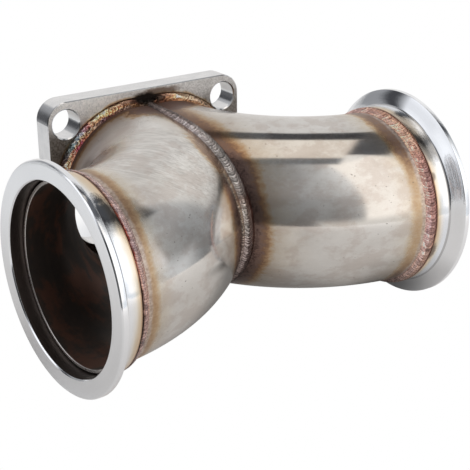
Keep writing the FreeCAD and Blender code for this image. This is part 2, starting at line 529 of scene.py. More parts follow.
def value_of(tree, name, output="Fac"):
    """A value kept on the piece's own points."""
    return add(tree, "ShaderNodeAttribute", attribute_name=name).outputs[output]


def ramp(tree, factor, stops):
    """Colour ramp; stops are (place, colour)."""
    node = add(tree, "ShaderNodeValToRGB", {"Fac": factor})
    points = node.color_ramp.elements
    while len(points) < len(stops):
        points.new(0.5)
    for point, (place, colour) in zip(points, stops):
        point.position = place
        point.color = (*colour, 1.0)
    return node.outputs["Color"]


def new_group(name, inputs, outputs):
    """Shader node group with named inputs and outputs; returns its tree, inputs and outputs."""
    tree = bpy.data.node_groups.new(name, "ShaderNodeTree")
    kinds = {"value": "NodeSocketFloat", "colour": "NodeSocketColor", "vector": "NodeSocketVector"}
    for label, kind, *default in inputs:
        socket = tree.interface.new_socket(name=label, in_out="INPUT", socket_type=kinds[kind])
        if default:
            socket.default_value = default[0]
    for label, kind in outputs:
        tree.interface.new_socket(name=label, in_out="OUTPUT", socket_type=kinds[kind])
    return tree, tree.nodes.new("NodeGroupInput").outputs, tree.nodes.new("NodeGroupOutput").inputs


def use(tree, group, **sockets):
    """Place a shared group in a material; socket names are given with _ for spaces."""
    node = tree.nodes.new("ShaderNodeGroup")
    node.node_tree = group
    for key, value in sockets.items():
        socket = node.inputs[key.replace("_", " ")]
        if isinstance(value, bpy.types.NodeSocket):
            tree.links.new(value, socket)
        elif hasattr(value, "__len__") and len(value) == 3 and socket.type == "RGBA":
            socket.default_value = (*value, 1.0)
        else:
            socket.default_value = value
    return node


def new_material(name):
    """Metal with an empty Principled BSDF; returns the material, its tree and the shader."""
    material = bpy.data.materials.new(name)
    material.use_nodes = True
    tree = material.node_tree
    tree.nodes.clear()
    shader = tree.nodes.new("ShaderNodeBsdfPrincipled")
    out = tree.nodes.new("ShaderNodeOutputMaterial")
    tree.links.new(shader.outputs[0], out.inputs[0])
    shader.inputs["Metallic"].default_value = 1.0
    return material, tree, shader


def finish_shader(tree, shader, colour, roughness, height, strength, distance=0.001):
    """Feed the shader's colour, roughness and bump."""
    tree.links.new(colour, shader.inputs["Base Color"])
    tree.links.new(roughness, shader.inputs["Roughness"])
    bump = add(tree, "ShaderNodeBump", {"Strength": strength, "Distance": distance, "Height": height})
    tree.links.new(bump.outputs["Normal"], shader.inputs["Normal"])


# Shared effects

def make_oxide_tint():
    """Colours that heat leaves on stainless steel, from bare through straw and mauve to black."""
    tree, given, result = new_group("oxide_tint", [
        ("Steel", "colour", (0.6, 0.6, 0.6, 1)), ("Heat", "value", 0.0)], [("Color", "colour")])
    film = ramp(tree, given["Heat"], [
        (0.00, (1.00, 1.00, 1.00)),
        (0.12, (0.96, 0.91, 0.83)),
        (0.24, (0.88, 0.76, 0.60)),
        (0.36, (0.80, 0.60, 0.40)),
        (0.48, (0.62, 0.42, 0.27)),
        (0.60, (0.42, 0.28, 0.21)),
        (0.70, (0.42, 0.31, 0.27)),
        (0.80, (0.35, 0.25, 0.23)),
        (0.90, (0.20, 0.14, 0.13)),
        (1.00, (0.08, 0.06, 0.055)),
    ])
    tree.links.new(mixed(tree, 1.0, given["Steel"], film, "MULTIPLY"), result["Color"])
    return tree


def make_weld_heat():
    """Heat beside a weld: full up to Hold, nearly gone at Reach, with a faint tail and a wandering edge."""
    tree, given, result = new_group("weld_heat", [
        ("Distance", "value"), ("Place", "vector"), ("Hold", "value", 2.0), ("Reach", "value", 10.0),
        ("Peak", "value", 0.6)], [("Heat", "value")])
    slow = noise(tree, given["Place"], 0.045, 1)
    quick = noise(tree, given["Place"], 0.5, 2)
    wander = summed(tree, 0.55, [(quick, 0.30), (slow, 0.6)])
    distance = calc(tree, "DIVIDE", given["Distance"], wander)
    share = falloff(tree, distance, given["Hold"], given["Reach"])
    fine = noise(tree, given["Place"], 1.6, 3, 0.65)
    uneven = summed(tree, 0.45, [(fine, 0.7), (quick, 0.4)])
    heat = product(tree, share, given["Peak"], uneven)
    tail = falloff(tree, distance, given["Hold"], product(tree, given["Reach"], 1.7))
    tree.links.new(calc(tree, "MAXIMUM", heat, product(tree, tail, 0.20, uneven)), result["Heat"])
    return tree


def make_rolled_grain():
    """Streaks along the bend, fine cross lines, soft clouds and small pits of bent tube."""
    tree, given, result = new_group("rolled_grain", [("Place", "vector")],
                                    [("Lines", "value"), ("Clouds", "value"), ("Pits", "value")])
    place = given["Place"]
    streaks = noise(tree, stretched(tree, place, (0.10, 1.1, 1.1)), 1.0, 4, 0.6)
    cross = noise(tree, stretched(tree, place, (2.4, 0.12, 0.12)), 1.0, 3, 0.6)
    lines = summed(tree, 0.0, [(cross, 0.45), (streaks, 0.55)])
    specks = noise(tree, place, 0.9, 1)
    where = noise(tree, place, 0.05, 1)
    pits = product(tree, falloff(tree, specks, 0.24, 0.27), falloff(tree, where, 0.42, 0.55))
    tree.links.new(lines, result["Lines"])
    tree.links.new(noise(tree, place, 0.06, 5, 0.6), result["Clouds"])
    tree.links.new(pits, result["Pits"])
    return tree


def make_pad_marks():
    """Curved scratches of a hand-held abrasive pad, faded out round a middle point."""
    tree, given, result = new_group("pad_marks", [("Middle", "vector"), ("Radius", "value", 0.03)],
                                    [("Marks", "value"), ("Area", "value")])
    place = object_place(tree)
    swirl = add(tree, "ShaderNodeTexNoise", {"Vector": place, "Scale": 16.0, "Detail": 1.0})
    bent = vector_calc(tree, "ADD", place, vector_calc(tree, "SCALE", swirl.outputs["Color"], Scale=0.05))
    stroke = add(tree, "ShaderNodeMapping", {"Vector": bent, "Rotation": (0.0, 0.0, math.radians(-35)),
                                             "Scale": (0.007, 0.0011, 0.0016)}, vector_type="TEXTURE")
    fine = noise(tree, stroke.outputs["Vector"], 1.0, 3, 0.65)
    patchy = noise(tree, bent, 130, 3, 0.6)
    marks = summed(tree, 0.0, [(patchy, 0.4), (fine, 0.6)])
    gap = vector_calc(tree, "DISTANCE", place, given["Middle"], output="Value")
    ragged = calc(tree, "MULTIPLY_ADD", noise(tree, place, 60, 3), 0.5, -0.25)
    share = calc(tree, "ADD", calc(tree, "DIVIDE", gap, given["Radius"]), ragged)
    tree.links.new(marks, result["Marks"])
    tree.links.new(falloff(tree, share, 0.65, 1.15), result["Area"])
    return tree


def make_spot_mask():
    """Soft-edged spot about a place on the object, as a mask: for soot, scorches, tack marks and painted
    dark reflections.
    """
    tree, given, result = new_group("spot_mask", [("Centre", "vector"), ("Size", "vector")],
                                    [("Mask", "value")])
    place = object_place(tree)
    away = vector_calc(tree, "DIVIDE", vector_calc(tree, "SUBTRACT", place, given["Centre"]), given["Size"])
    gap = vector_calc(tree, "LENGTH", away, output="Value")
    ragged = calc(tree, "MULTIPLY_ADD", noise(tree, place, 420, 4, 0.65), 0.9, -0.45)
    tree.links.new(falloff(tree, calc(tree, "ADD", gap, ragged), 0.55, 1.25), result["Mask"])
    return tree


oxide_tint = make_oxide_tint()
weld_heat = make_weld_heat()
rolled_grain = make_rolled_grain()
pad_marks = make_pad_marks()
spot_mask = make_spot_mask()


def in_metres(values):
    """A place or a size in millimetres, as the object's own coordinates count it."""
    return tuple(MM * value for value in values)


def spot(tree, centre, size):
    """Where a soft-edged spot lies, from its centre and its half sizes."""
    return use(tree, spot_mask, Centre=in_metres(centre), Size=in_metres(size)).outputs["Mask"]


def sooted(tree, colour):
    """The colour under the soot above the corner of the flange's weld."""
    return mixed(tree, spot(tree, (-1.0, -12.5, 40.8), (7.6, 6.0, 2.4)), colour, (0.018, 0.014, 0.012))


# Metals

def pipe_heat(tree, place, welds, top_share, outer_share, scorches):
    """Heat on a pipe from the welds, given as (distance, (hold, reach, peak)), and from scorches."""
    from_seam, from_outlet, from_foot = (
        use(tree, weld_heat, Distance=calc(tree, "MAXIMUM", distance, 0.0), Place=place,
            Hold=hold, Reach=reach, Peak=peak).outputs["Heat"]
        for distance, (hold, reach, peak) in welds)
    heat = calc(tree, "MAXIMUM", from_foot, product(tree, from_seam, top_share))
    heat = calc(tree, "MAXIMUM", heat, product(tree, from_outlet, outer_share))
    for centre, size, peak in scorches:
        heat = calc(tree, "MAXIMUM", heat, product(tree, spot(tree, centre, size), peak))
    return heat


def rubbed(tree, steel, middle, radius):
    """The steel with a patch rubbed by an abrasive pad, and how rough and high its scratches are."""
    pad = use(tree, pad_marks, Middle=in_metres(middle), Radius=MM * radius).outputs
    scratched = ramp(tree, pad["Marks"], [
        (0.36, (0.42, 0.40, 0.38)), (0.50, (0.65, 0.635, 0.61)), (0.62, (0.82, 0.81, 0.79))])
    return veiled(tree, steel, pad["Area"], 0.7, scratched), product(tree, pad["Area"], pad["Marks"])


def make_pipe_steel(name, seam, outlet, foot, milder, scorches, haze, veil_share, pad=None):
    """Bent stainless tube: heat tint beside each weld, grey haze, and maybe a patch rubbed with a pad.

    seam, outlet and foot are (hold, reach, peak) of the heat beside those welds; milder is the
    share that the outlet's heat loses outside the bend; scorches are (centre, size, peak) of
    hotter spots; haze is how far a grey veil reaches from the seam, and veil_share its strength;
    pad is (middle, radius) of the rubbed patch.
    """
    material, tree, shader = new_material(name)
    place = value_of(tree, "along_pipe", "Vector")
    round_pipe = split(tree, place)
    from_seam = value_of(tree, "from_seam")
    from_outlet = value_of(tree, "from_outlet")
    from_foot = value_of(tree, "from_foot")
    inside = value_of(tree, "inside")
    grain = use(tree, rolled_grain, Place=place).outputs
    smears = noise(tree, place, 0.11, 4, 0.65)
    on_skin = falloff(tree, from_outlet, 0.0, -1.0)
    near_foot = falloff(tree, from_foot, 6.0, 22.0)
    near_outlet = falloff(tree, from_outlet, 3.0, 11.0)
    valley = product(tree, falloff(tree, from_foot, 18.0, 42.0), falloff(tree, round_pipe["Y"], -14.0, 2.0))

    top_share = calc(tree, "MULTIPLY_ADD", falloff(tree, round_pipe["Z"], 37.0, 26.0), -0.30, 1.0)
    outer_share = calc(tree, "MULTIPLY_ADD", falloff(tree, round_pipe["Y"], 37.0, 22.0), -milder, 1.0)
    heat = pipe_heat(tree, place, [(from_seam, seam), (from_outlet, outlet), (from_foot, foot)],
                     top_share, product(tree, outer_share, on_skin), scorches)

    steel = ramp(tree, grain["Clouds"], [
        (0.30, (0.56, 0.535, 0.51)), (0.48, (0.68, 0.665, 0.645)), (0.66, (0.735, 0.725, 0.71))])
    steel = veiled(tree, steel, calc(tree, "SUBTRACT", grain["Lines"], 0.5), 0.9, (0.80, 0.79, 0.775))
    steel = veiled(tree, steel, falloff(tree, from_seam, 3.0, haze), veil_share, (0.40, 0.355, 0.33))
    rubbing = 0.0
    if pad:
        steel, rubbing = rubbed(tree, steel, *pad)
    steel = veiled(tree, steel, falloff(tree, smears, 0.60, 0.46), 0.35, (0.48, 0.40, 0.36))
    steel = veiled(tree, steel, near_foot, 0.35, (0.46, 0.39, 0.35))
    # valley: the hollow inside the bend next to the plate, painted darker as painted shade and a painted
    # dark reflection, and rougher too
    steel = veiled(tree, steel, valley, 0.55, (0.36, 0.30, 0.28))
    colour = use(tree, oxide_tint, Steel=steel, Heat=heat).outputs["Color"]

    wandering = calc(tree, "ADD", from_outlet, calc(tree, "MULTIPLY_ADD", smears, 3.0, -1.5))
    film = ramp(tree, noise(tree, place, 1.1, 3, 0.7), [
        (0.36, (0.34, 0.28, 0.26)), (0.48, (0.51, 0.45, 0.435)), (0.62, (0.74, 0.67, 0.62))])
    colour = veiled(tree, colour, falloff(tree, wandering, 0.8, 2.4), 0.60, film)
    colour = mixed(tree, on_skin, (0.95, 0.94, 0.93), colour)
    colour = veiled(tree, colour, grain["Pits"], 0.75, (0.16, 0.14, 0.13))
    # Painted shade inside the tube: near black, with brown patches
    inside_shade = ramp(tree, grain["Clouds"], [
        (0.35, (0.095, 0.082, 0.075)), (0.50, (0.115, 0.092, 0.080)), (0.60, (0.21, 0.115, 0.085))])
    colour = mixed(tree, inside, sooted(tree, colour), inside_shade)

    roughness = summed(tree, 0.02, [(grain["Lines"], 0.16), (rubbing, 0.22), (heat, 0.16), (near_foot, 0.5),
                                    (valley, 0.38), (near_outlet, 0.18), (inside, 0.38)])
    height = product(tree, noise(tree, place, 0.04, 2), 0.20)
    height = summed(tree, height, [(grain["Lines"], 0.004), (rubbing, 0.012)])
    finish_shader(tree, shader, colour, roughness, height, strength=0.35)
    return material


def make_turned_steel(name, root_share, root_width, marks_and_reflections):
    """Turned stainless with fine tool lines round the axis, straw-tinted beside its weld.

    root_share and root_width set the painted shade line in the corner where the lip meets the hub;
    the last argument gives (centre, size, share, colour) of dark spots on the hub, some painted
    dark reflections and some tack marks.
    """
    material, tree, shader = new_material(name)
    place = value_of(tree, "tool_path", "Vector")
    depth = value_of(tree, "depth")
    radius = value_of(tree, "radius")
    lines = noise(tree, stretched(tree, place, (6.0, 0.02, 0.02)), 1.0, 3)
    patches = noise(tree, place, 0.12, 3)
    in_bore = product(tree, calc(tree, "LESS_THAN", radius, BORE_RADIUS + 0.06),
                      calc(tree, "GREATER_THAN", depth, LIP_CHAMFER + 0.1))

    from_weld = calc(tree, "SUBTRACT", HUB_END, depth)
    wandering = calc(tree, "ADD", from_weld, calc(tree, "MULTIPLY_ADD", patches, 5.0, -2.5))
    heat = calc(tree, "MAXIMUM", product(tree, falloff(tree, wandering, 0.5, 5.0), 0.32),
                product(tree, falloff(tree, from_weld, 0.3, 1.1), 0.5))
    heat = product(tree, heat, calc(tree, "GREATER_THAN", depth, LIP_END))
    bright = ramp(tree, patches, [(0.3, (0.88, 0.905, 0.945)), (0.7, (0.935, 0.96, 1.0))])
    colour = use(tree, oxide_tint, Steel=bright, Heat=heat).outputs["Color"]

    # Painted shade along the corner where the lip meets the hub
    from_root = calc(tree, "ABSOLUTE", calc(tree, "SUBTRACT", depth, LIP_END + 0.2))
    root = product(tree, falloff(tree, from_root, 0.5 * root_width, root_width),
                   calc(tree, "GREATER_THAN", radius, BORE_RADIUS + 0.5))
    colour = veiled(tree, colour, root, root_share, (0.22, 0.22, 0.23))
    # Painted shade: the bore recess is coloured dark
    colour = mixed(tree, in_bore, colour, (0.15, 0.125, 0.115))
    on_hub = calc(tree, "GREATER_THAN", depth, LIP_END + 0.4)
    for centre, size, share, tone in marks_and_reflections:
        dark_spot = product(tree, spot(tree, centre, size), on_hub)
        colour = veiled(tree, colour, dark_spot, share, tone)

    roughness = summed(tree, 0.02, [(lines, 0.10), (in_bore, 0.34)])
    finish_shader(tree, shader, colour, roughness, lines, strength=0.05)
    return material


def make_plate_steel():
    """Plate with a grained face, painted light near its top and on its left, painted shade lower down,
    bright machined edges and holes, and heat tint round the weld.
    """
    material, tree, shader = new_material("flange_plate_steel")
    place = object_place(tree)
    parts = split(tree, place)
    facing = split(tree, add(tree, "ShaderNodeNewGeometry").outputs["Normal"])
    face = calc(tree, "GREATER_THAN", calc(tree, "ABSOLUTE", facing["Y"]), 0.8)
    back = product(tree, face, calc(tree, "LESS_THAN", parts["Y"], -0.5 * PLATE_THICKNESS * MM))
    cloud = noise(tree, place, 120, 4, 0.6)
    grain = noise(tree, place, 1500, 4, 0.75)

    # Painted light and shade on the face: the low tone is painted shade lower down, the high tone painted
    # light near the top, and the pale tone brighter painted light on the left near the top
    low = ramp(tree, grain, [(0.36, (0.15, 0.14, 0.13)), (0.64, (0.45, 0.43, 0.40))])
    high = ramp(tree, grain, [(0.36, (0.54, 0.54, 0.535)), (0.64, (0.95, 0.95, 0.95))])
    pale = ramp(tree, grain, [(0.36, (0.68, 0.70, 0.715)), (0.60, (1.0, 1.0, 1.0))])
    edge = ramp(tree, noise(tree, place, 160, 3), [(0.35, (0.77, 0.785, 0.81)), (0.65, (0.85, 0.86, 0.88))])
    rise = calc(tree, "MULTIPLY_ADD", cloud, 0.010, calc(tree, "SUBTRACT", parts["Z"], 0.005))
    painted_light_left = product(tree, falloff(tree, parts["X"], -0.022, -0.006), falloff(tree, rise, 0.038, 0.028))
    steel = mixed(tree, falloff(tree, rise, 0.0425, 0.030), low, high)
    steel = mixed(tree, painted_light_left, steel, pale)
    steel = mixed(tree, face, edge, steel)

    aside = calc(tree, "SUBTRACT", calc(tree, "ABSOLUTE", parts["X"]), PIPE_OFFSET * MM)
    from_pipe = vector_calc(tree, "LENGTH", joined(tree, X=aside, Z=parts["Z"]), output="Value")
    from_toe = calc(tree, "SUBTRACT", from_pipe, (PIPE_RADIUS + FLANGE_BEAD_LEG) * MM)
    wandering = calc(tree, "ADD", from_toe, calc(tree, "MULTIPLY_ADD", cloud, 0.003, -0.0015))
    heat = product(tree, falloff(tree, wandering, -0.0010, 0.0012), 0.66, back)
    colour = use(tree, oxide_tint, Steel=steel, Heat=heat).outputs["Color"]
    scorch = spot(tree, (6.5, -11.0, 42.5), (11.0, 4.0, 2.0))
    colour = veiled(tree, colour, scorch, 0.85, (0.17, 0.11, 0.07))

    roughness = calc(tree, "MULTIPLY_ADD", face, calc(tree, "MULTIPLY_ADD", grain, 0.25, 0.18), 0.14)
    height = product(tree, calc(tree, "MULTIPLY_ADD", face, 0.9, 0.1), grain)
    finish_shader(tree, shader, sooted(tree, colour), roughness, height, strength=0.35, distance=0.0003)
    return material


def make_bead_metal(name, length, rows, edges, contrast, crest=1.6, roughness=0.25, lift=1.0, patchy=1.0,
                    streaks=0.0, sooty=False):
    """Weld metal whose colour changes along the bead and across it.

    rows are (place across where it takes over, [(place along, colour), ...]) from the first toe
    to the other, and edges are (place across, tone) of the toes: painted shade in the creases at
    the toes, with painted highlight lines beside them on some beads.  contrast and crest are the
    painted shade in a ripple's root and the painted highlight on its crest; lift and patchy how
    bright the whole is and how unevenly; streaks is the share of the streaks along the bead.
    """
    material, tree, shader = new_material(name)
    place = object_place(tree)
    scatter = noise(tree, place, 420, 3)
    chance = value_of(tree, "chance")
    run = value_of(tree, "along")
    stepped = summed(tree, -4.5, [(run, 1.0), (scatter, 5.0), (chance, 4.0)])
    along = calc(tree, "DIVIDE", stepped, length)
    across = calc(tree, "MULTIPLY_ADD", value_of(tree, "across"), 0.5, 0.5)
    mottled = summed(tree, -0.25, [(across, 1.0), (scatter, 0.5)])
    colour = ramp(tree, along, rows[0][1])
    for border, row in rows[1:]:
        past = falloff(tree, mottled, border + 0.08, border - 0.08)
        colour = mixed(tree, past, colour, ramp(tree, along, row))

    dark = (contrast, contrast * 0.9, contrast * 0.88)
    # Painted shade in each ripple's root and painted highlight on its crest
    ripple_shade = ramp(tree, value_of(tree, "ripple"), [
        (0.0, dark), (0.35, (0.75, 0.73, 0.72)), (0.75, (1.05, 1.05, 1.05)), (1.0, (crest, crest, crest))])
    spread = product(tree, summed(tree, 0.70 - 0.5 * patchy, [(scatter, patchy), (chance, 0.6)]), lift)
    for shade in (ripple_shade, joined(tree, X=spread, Y=spread, Z=spread), ramp(tree, across, edges)):
        colour = mixed(tree, 1.0, colour, shade, "MULTIPLY")
    drawn_out = joined(tree, X=product(tree, run, 0.22), Y=product(tree, across, 8.0))
    streak = ramp(tree, noise(tree, drawn_out, 1.0, 3, 0.6), [
        (0.36, (0.50, 0.46, 0.50)), (0.50, (0.98, 0.98, 1.0)), (0.62, (1.70, 1.50, 1.35))])
    colour = mixed(tree, streaks, colour, mixed(tree, 1.0, colour, streak, "MULTIPLY"))
    if sooty:
        colour = sooted(tree, colour)
    fine = noise(tree, place, 2200, 3, 0.7)
    rough = calc(tree, "MULTIPLY_ADD", fine, 0.25, roughness - 0.1)
    finish_shader(tree, shader, colour, rough, fine, strength=0.8, distance=0.0004)
    return material


# Ripples

def make_ripple_tree():
    """Geometry Nodes tree that presses overlapping ripples into a smooth bead."""
    tree = bpy.data.node_groups.new("weld_ripples", "GeometryNodeTree")
    for label, kind, default in (("Geometry", "Geometry", None), ("Pitch", "Float", 1.0),
                                 ("Height", "Float", 0.3), ("Bow", "Float", 1.0), ("Centre", "Float", 0.0),
                                 ("Wander", "Float", 0.5), ("Seed", "Int", 1), ("Metal", "Material", None)):
        socket = tree.interface.new_socket(name=label, in_out="INPUT", socket_type="NodeSocket" + kind)
        if default is not None:
            socket.default_value = default
    tree.interface.new_socket(name="Geometry", in_out="OUTPUT", socket_type="NodeSocketGeometry")
    given = tree.nodes.new("NodeGroupInput").outputs
    result = tree.nodes.new("NodeGroupOutput").inputs

    def attribute(name):
        return add(tree, "GeometryNodeInputNamedAttribute", {"Name": name}).outputs["Attribute"]

    def kept(geometry, name, value):
        sockets = {"Geometry": geometry, "Name": name, "Value": value}
        return add(tree, "GeometryNodeStoreNamedAttribute", sockets,
                   data_type="FLOAT", domain="POINT").outputs["Geometry"]

    along = attribute("along")
    across = attribute("across")
    off_centre = calc(tree, "SUBTRACT", across, given["Centre"])
    bowed = product(tree, off_centre, off_centre, given["Bow"])
    drift = add(tree, "ShaderNodeTexNoise", {"W": product(tree, along, 0.3), "Scale": 1.0, "Detail": 2.0},
                noise_dimensions="1D").outputs[0]
    phase = calc(tree, "ADD", calc(tree, "DIVIDE", along, given["Pitch"]), bowed)
    phase = calc(tree, "ADD", phase, product(tree, drift, given["Wander"]))
    front = calc(tree, "FRACT", phase)
    number = add(tree, "FunctionNodeFloatToInt", {0: calc(tree, "FLOOR", phase)}).outputs[0]
    chance = add(tree, "FunctionNodeRandomValue", {"ID": number, "Seed": given["Seed"]},
                 data_type="FLOAT").outputs["Value"]
    rise = calc(tree, "MINIMUM", calc(tree, "DIVIDE", front, 0.22), 1.0)
    ripple = product(tree, rise, calc(tree, "SQRT", calc(tree, "SUBTRACT", 1.0, front)))
    edge = calc(tree, "SUBTRACT", 1.0, calc(tree, "POWER", calc(tree, "ABSOLUTE", across), 12.0))
    size = product(tree, calc(tree, "MULTIPLY_ADD", chance, 0.7, 0.65), given["Height"], MM)
    depth = product(tree, calc(tree, "SUBTRACT", ripple, 1.0), size, edge, attribute("on_crown"))
    offset = vector_calc(tree, "SCALE", tree.nodes.new("GeometryNodeInputNormal").outputs[0], Scale=depth)
    moved = add(tree, "GeometryNodeSetPosition", {"Geometry": given["Geometry"], "Offset": offset})
    marked = kept(kept(moved.outputs["Geometry"], "ripple", ripple), "chance", chance)
    real = add(tree, "GeometryNodeRealizeInstances", {"Geometry": marked}).outputs[0]
    coated = add(tree, "GeometryNodeSetMaterial", {"Geometry": real, "Material": given["Metal"]})
    tree.links.new(coated.outputs[0], result[0])
    return tree


ripple_tree = make_ripple_tree()


def lay_ripples(bead, metal, **inputs):
    """Run the ripple tree on a bead and keep the result as its plain mesh."""
    modifier = bead.modifiers.new("ripples", "NODES")
    modifier.node_group = ripple_tree
    identifiers = {item.name: item.identifier for item in ripple_tree.interface.items_tree
                   if item.in_out == "INPUT"}
    for label, value in {**inputs, "Metal": metal}.items():
        modifier[identifiers[label]] = value
    bead.update_tag()
    evaluated = bead.evaluated_get(bpy.context.evaluated_depsgraph_get())
    rippled = bpy.data.meshes.new_from_object(evaluated)
    bead.modifiers.remove(modifier)
    bead.data = rippled
    return bead


# The object

def fit(piece, node, material=None):
    """Put a finished piece in the place of its CAD node."""
    if material is not None:
        piece.data.materials.clear()
        piece.data.materials.append(material)
    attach(piece, "root")
    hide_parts(node)


# Hotter spots on the pipes, as (centre, half sizes, heat)
SEAM_START_SCORCH = ((2.0, -21.0, 38.5), (21.0, 10.0, 7.0), 0.78)
LEFT_TOP_SCORCH = ((-6.0, -70.0, 31.0), (7.0, 22.0, 8.0), 0.55)

# Dark spots on the hubs, as (centre, half sizes, share, colour): on the right hub two painted dark
# reflections, then two tack marks; on the left hub a painted dark reflection
RIGHT_HUB_DARK_REFLECTIONS_AND_TACKS = [
    ((74.5, -99.0, 37.8), (6.0, 8.0, 6.0), 0.65, (0.32, 0.30, 0.28)),
    ((76.0, -114.0, 29.7), (6.0, 8.0, 8.0), 0.80, (0.28, 0.27, 0.26)),
    ((72.8, -121.9, 19.3), (1.6, 1.8, 2.2), 0.70, (0.16, 0.12, 0.10)),
    ((72.8, -124.0, -14.0), (2.2, 3.2, 5.2), 0.80, (0.13, 0.10, 0.09)),
]
LEFT_HUB_DARK_REFLECTION = [((-76.5, -111.0, 32.0), (6.0, 7.0, 6.0), 0.65, (0.22, 0.22, 0.22))]

pipe_steel_right = make_pipe_steel("right_pipe_steel", seam=(4.0, 16.5, 0.86), outlet=(4.0, 11.0, 0.64),
                                   foot=(4.0, 12.5, 0.74), milder=0.48, scorches=[SEAM_START_SCORCH],
                                   haze=22.0, veil_share=0.75)
pipe_steel_left = make_pipe_steel("left_pipe_steel", seam=(1.6, 12.0, 0.64), outlet=(2.0, 8.6, 0.50),
                                  foot=(3.0, 11.0, 0.74), milder=0.15,
                                  scorches=[SEAM_START_SCORCH, LEFT_TOP_SCORCH],
                                  haze=15.0, veil_share=0.5, pad=((-33, -75, 36), 34))
turned_steel_right = make_turned_steel("right_turned_steel", root_share=0.55, root_width=0.55,
                                       marks_and_reflections=RIGHT_HUB_DARK_REFLECTIONS_AND_TACKS)
turned_steel_left = make_turned_steel("left_turned_steel", root_share=0.85, root_width=0.90,
                                      marks_and_reflections=LEFT_HUB_DARK_REFLECTION)
plate_steel = make_plate_steel()

fit(make_pipe(1, "right_pipe"), "right_bend", pipe_steel_right)
fit(make_pipe(-1, "left_pipe"), "left_bend", pipe_steel_left)
fit(make_v_band_flange(1, "right_v_band"), "right_v_band_flange", turned_steel_right)
fit(make_v_band_flange(-1, "left_v_band"), "left_v_band_flange", turned_steel_left)

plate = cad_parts["turbo_flange"]
plate.data.materials.clear()
plate.data.materials.append(plate_steel)

# Run that the colours of each bead are spread over
OUTLET_RUN = math.tau * PIPE_RADIUS
SEAM_RUN = 191.1
FLANGE_RUN = 294.0

# Colours of each bead along its run, as (share of the run, colour)
RIGHT_OUTLET_HUB_SIDE = [
    (0.00, (0.45, 0.32, 0.28)), (0.20, (0.56, 0.35, 0.30)), (0.29, (0.76, 0.47, 0.36)),
    (0.35, (0.74, 0.50, 0.39)), (0.38, (0.58, 0.34, 0.29)), (0.42, (0.42, 0.26, 0.25)),
    (0.47, (0.50, 0.29, 0.27)), (0.51, (0.46, 0.29, 0.27)), (0.56, (0.52, 0.36, 0.31)),
    (0.62, (0.48, 0.34, 0.29)), (0.68, (0.28, 0.21, 0.19)), (1.00, (0.45, 0.32, 0.28)),
]
RIGHT_OUTLET_PIPE_SIDE = [
    (0.00, (0.45, 0.32, 0.28)), (0.20, (0.62, 0.42, 0.40)), (0.29, (0.90, 0.58, 0.48)),
    (0.34, (1.00, 0.64, 0.50)), (0.38, (0.96, 0.54, 0.46)), (0.42, (0.92, 0.58, 0.52)),
    (0.46, (0.95, 0.60, 0.55)), (0.51, (0.84, 0.58, 0.60)), (0.56, (0.90, 0.65, 0.60)),
    (0.61, (0.56, 0.42, 0.39)), (0.68, (0.26, 0.20, 0.19)), (1.00, (0.45, 0.32, 0.28)),
]
LEFT_OUTLET_TOE = [
    (0.00, (0.40, 0.28, 0.26)), (0.33, (0.46, 0.30, 0.25)), (0.36, (0.46, 0.14, 0.11)),
    (0.42, (0.50, 0.13, 0.10)), (0.445, (0.70, 0.36, 0.28)), (0.465, (0.14, 0.09, 0.07)),
    (0.56, (0.10, 0.07, 0.06)), (0.62, (0.30, 0.22, 0.20)), (1.00, (0.35, 0.26, 0.24)),
]
LEFT_OUTLET_HUB_SIDE = [
    (0.00, (0.46, 0.38, 0.38)), (0.30, (0.54, 0.43, 0.43)), (0.40, (0.54, 0.41, 0.42)),
    (0.46, (0.60, 0.43, 0.40)), (0.50, (0.48, 0.34, 0.31)), (0.60, (0.40, 0.32, 0.32)),
    (1.00, (0.46, 0.38, 0.38)),
]
LEFT_OUTLET_PIPE_SIDE = [
    (0.00, (0.46, 0.38, 0.38)), (0.30, (0.62, 0.50, 0.50)), (0.42, (0.58, 0.45, 0.45)),
    (0.46, (0.95, 0.64, 0.56)), (0.50, (0.74, 0.50, 0.45)), (0.60, (0.46, 0.37, 0.36)),
    (1.00, (0.46, 0.38, 0.38)),
]
SEAM_RIGHT_FLANK = [
    (0.00, (0.18, 0.14, 0.13)), (0.20, (0.18, 0.14, 0.13)), (0.30, (0.27, 0.23, 0.22)),
    (0.38, (0.18, 0.13, 0.12)), (0.43, (0.07, 0.03, 0.025)), (0.50, (0.15, 0.08, 0.06)),
    (0.58, (0.07, 0.045, 0.04)), (1.00, (0.12, 0.09, 0.08)),
]
SEAM_CROWN = [
    (0.00, (0.09, 0.07, 0.065)), (0.06, (0.15, 0.12, 0.115)), (0.17, (0.22, 0.17, 0.16)),
    (0.23, (0.46, 0.42, 0.41)), (0.32, (0.34, 0.32, 0.31)), (0.38, (0.44, 0.40, 0.39)),
    (0.425, (0.10, 0.055, 0.04)), (0.445, (0.20, 0.14, 0.12)), (0.50, (0.19, 0.14, 0.13)),
    (0.56, (0.10, 0.07, 0.065)), (0.75, (0.18, 0.15, 0.14)), (1.00, (0.16, 0.12, 0.11)),
]
SEAM_LEFT_FLANK = [
    (0.00, (0.12, 0.10, 0.09)), (0.05, (0.28, 0.23, 0.22)), (0.10, (0.55, 0.46, 0.45)),
    (0.20, (0.84, 0.76, 0.77)), (0.27, (0.68, 0.63, 0.62)), (0.33, (0.50, 0.48, 0.47)),
    (0.39, (0.74, 0.72, 0.71)), (0.425, (0.44, 0.32, 0.28)), (0.445, (0.74, 0.70, 0.66)),
    (0.49, (0.56, 0.51, 0.49)), (0.54, (0.56, 0.47, 0.46)), (0.61, (0.26, 0.21, 0.20)),
    (1.00, (0.22, 0.17, 0.16)),
]
